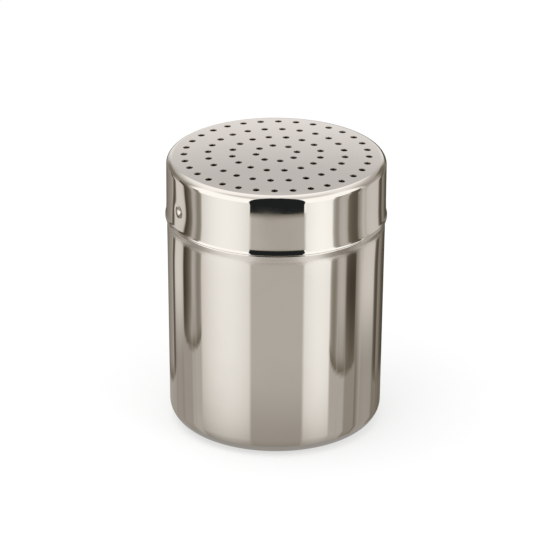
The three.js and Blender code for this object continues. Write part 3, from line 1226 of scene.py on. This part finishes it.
    def grids(self) -> list[tuple[Array, Array]]:
        """The tent's patches: the ring under the shaker, the floor, the wall and the ceiling.

        Returns:
            Each patch's grid of points and its colours.
        """
        degrees = np.linspace(-BEHIND, BEHIND, self.columns)[None, :]
        azimuth = np.radians(degrees)
        # The ring under the shaker, darkened as painted shade.
        under = np.linspace(self.under_radius, self.wall_radius, self.under_rows)[:, None]
        below = self.spot(azimuth, under, 0, self.floor_height)
        below_shade_tones = self.under_shade_tone * (1 - self.under_shade_warmth * np.array(self.warmth))
        reach = self.full_reach(azimuth) * np.linspace(0, 1, self.floor_rows)[:, None] ** self.floor_crowding
        floor = self.spot(azimuth, self.wall_radius, reach, self.floor_height)
        elevation = np.linspace(self.low_elevation, self.top_elevation, self.wall_rows)[:, None]
        height = self.lid_height + (self.radius - self.wall_radius) * np.tan(np.radians(elevation))
        height[0] = self.floor_height
        wall = self.spot(azimuth, self.wall_radius, reach[-1], height)
        ceiling = wall[-1:].repeat(self.ceiling_rows, axis=0)
        ceiling[..., :2] *= np.linspace(1, 0, self.ceiling_rows)[:, None, None]
        beyond = np.ones(elevation.shape)
        return [
            (below, np.broadcast_to(below_shade_tones, below.shape)),
            (floor, self.mirrored(degrees, reach, np.full(reach.shape, self.floor_elevation))),
            (wall, self.mirrored(degrees, beyond, elevation)),
            (ceiling, np.full(ceiling.shape, self.ceiling)),
        ]

    def build(self) -> bpy.types.Object:
        """Build the tent, with its tones as an attribute.

        Returns:
            The tent's object.
        """
        points, tones, faces, count = [], [], [], 0
        for grid, shade in self.grids():
            numbers = count + np.arange(grid[..., 0].size).reshape(grid.shape[:-1])
            count += numbers.size
            points.append(grid.reshape(-1, 3))
            tones.append(shade.reshape(-1, 3))
            faces.append(ring_faces(numbers).reshape(-1, 4))
        mesh = bpy.data.meshes.new("reflection_tent")
        mesh.from_pydata(np.concatenate(points).tolist(), [], np.concatenate(faces).tolist())
        layer = mesh.color_attributes.new("tone", "FLOAT_COLOR", "POINT")
        layer.data.foreach_set("color", np.column_stack([np.concatenate(tones), np.ones(count)]).ravel())
        tent = placed("reflection_tent", mesh)
        material = bpy.data.materials.new("tent_glow")
        graph = Graph(material)
        # The emitted tone is the painted reflection.
        tone = graph.node("ShaderNodeAttribute", {"attribute_name": "tone"}).out("Color")
        graph.finish(graph.node("ShaderNodeEmission", inputs={"Color": tone, "Strength": 1.0}))
        mesh.materials.append(material)
        tent.visible_camera = False
        tent.visible_diffuse = False
        tent.visible_shadow = False
        return tent


@dataclass(frozen=True)
class Lamp:
    """A square soft lamp: its name, its place, the length of its side and its power in watts."""

    name: str
    place: tuple[float, float, float]
    size: float
    power: float


@dataclass
class Studio:
    """The plain pale floor, the soft lights and the camera of the photograph."""

    floor_half: float = 4.0
    floor_colour: Colour = (0.86, 0.86, 0.855)
    floor_glow: float = 0.6
    ambient: float = 0.85
    lamps: tuple[Lamp, ...] = (
        Lamp("overhead_softbox", (-0.25, -0.15, 1.1), 0.9, 6.0),
        Lamp("side_softbox", (0.9, -0.7, 0.8), 0.7, 3.0),
    )
    view_distance: float = 1261.7 * MM
    view_elevation: float = 21.93
    view_roll: float = 0.357
    crown_height: float = 90.8 * MM
    crown_pixel: tuple[float, float] = (276.52, 152.91)
    pixels_per_view: float = 3977.5
    image_size: int = 560
    sensor_width: float = 36
    clip_start: float = 0.05

    def floor(self) -> bpy.types.Object:
        """Build the floor: pale to the camera, with the shaker's soft shadow on it.

        Returns:
            The floor's object.
        """
        half = self.floor_half
        corners = [(-half, -half, 0), (half, -half, 0), (half, half, 0), (-half, half, 0)]
        mesh = bpy.data.meshes.new("floor")
        mesh.from_pydata(corners, [], [(0, 1, 2, 3)])
        floor = placed("floor", mesh)
        material = bpy.data.materials.new("pale_floor")
        graph = Graph(material)
        paint = graph.node("ShaderNodeBsdfDiffuse", inputs={"Color": (*self.floor_colour, 1.0)})
        glow = graph.node("ShaderNodeEmission", inputs={"Color": WHITE, "Strength": 1.0})
        seen = graph.ray(Ray.CAMERA) * self.floor_glow
        graph.finish(graph.node("ShaderNodeMixShader", inputs={0: seen, 1: paint, 2: glow}))
        mesh.materials.append(material)
        return floor

    def world(self) -> None:
        """Make the world: white to camera, glossy and transmission rays, a soft even light to the rest."""
        world = bpy.data.worlds.new("soft_room")
        bpy.context.scene.world = world
        graph = Graph(world)
        shown = graph.ray(Ray.CAMERA) + graph.ray(Ray.GLOSSY) + graph.ray(Ray.TRANSMISSION)
        shown = shown.math("MINIMUM", 1.0)
        room = graph.node("ShaderNodeBackground", inputs={"Color": WHITE, "Strength": self.ambient})
        white = graph.node("ShaderNodeBackground", inputs={"Color": WHITE, "Strength": 1.0})
        mixed = graph.node("ShaderNodeMixShader", inputs={0: shown, 1: room, 2: white})
        graph.finish(mixed, "ShaderNodeOutputWorld")

    def light(self, lamp: Lamp) -> None:
        """Put a lamp in its place, turned to the shaker's middle and not mirrored in the steel.

        Args:
            lamp: the lamp.
        """
        data = bpy.data.lights.new(lamp.name, "AREA")
        data.size = lamp.size
        data.energy = lamp.power
        made = placed(lamp.name, data)
        made.location = lamp.place
        aim = Vector((0, 0, self.crown_height / 2)) - Vector(lamp.place)
        made.rotation_euler = aim.to_track_quat("-Z", "Y").to_euler()
        made.visible_glossy = False

    def camera(self) -> None:
        """Make the camera, placed so that the middle of the lid's crown falls on its pixel.

        The ray to the crown comes down at the view's elevation. The camera is turned from that ray by
        the angles whose tangents are the crown's offsets from the image's middle over the focal
        length in pixels.
        """
        elevation = math.radians(self.view_elevation)
        crown = Vector((0, 0, self.crown_height))
        back = Vector((0, -math.cos(elevation), math.sin(elevation)))
        right = Vector((1, 0, 0))
        up = back.cross(right)
        roll = math.radians(self.view_roll)
        right, up = right * math.cos(roll) + up * math.sin(roll), up * math.cos(roll) - right * math.sin(roll)
        middle = self.image_size / 2
        across = (self.crown_pixel[0] - middle) / self.pixels_per_view
        above = (middle - self.crown_pixel[1]) / self.pixels_per_view
        ray = Vector((across, above, -1)).normalized()
        frame_of_ray = Matrix((right, up, back)).transposed()
        turn = Vector((0, 0, -1)).rotation_difference(ray).to_matrix()
        pose = frame_of_ray @ turn.inverted()
        data = bpy.data.cameras.new("camera")
        data.sensor_width = self.sensor_width
        data.lens = self.pixels_per_view / self.image_size * self.sensor_width
        data.clip_start = self.clip_start
        camera = placed("camera", data)
        camera.matrix_world = Matrix.Translation(crown + back * self.view_distance) @ pose.to_4x4()
        bpy.context.scene.camera = camera

    def build(self) -> None:
        """Make the camera, the floor, the world and the lamps."""
        bpy.context.scene.view_settings.view_transform = "Standard"
        self.camera()
        self.floor()
        self.world()
        for lamp in self.lamps:
            self.light(lamp)


def main() -> None:
    """Build the studio and the shaker, and report each piece."""
    logging.basicConfig(level=logging.INFO, format="%(name)s: %(message)s")
    Studio().build()
    Tent().build()
    lock = Bayonet()
    for node, maker, finish in (
        ("cup", Cup(lock), PolishedSteel("cup_steel")),
        ("lid", Lid(lock), PolishedSteel("lid_steel")),
    ):
        piece = maker.build()
        piece.data.materials.append(finish.build())
        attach(piece, node)
        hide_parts(node)
        log.info("%s: %d faces", piece.name, len(piece.data.polygons))


if __name__ == "__main__":
    main()
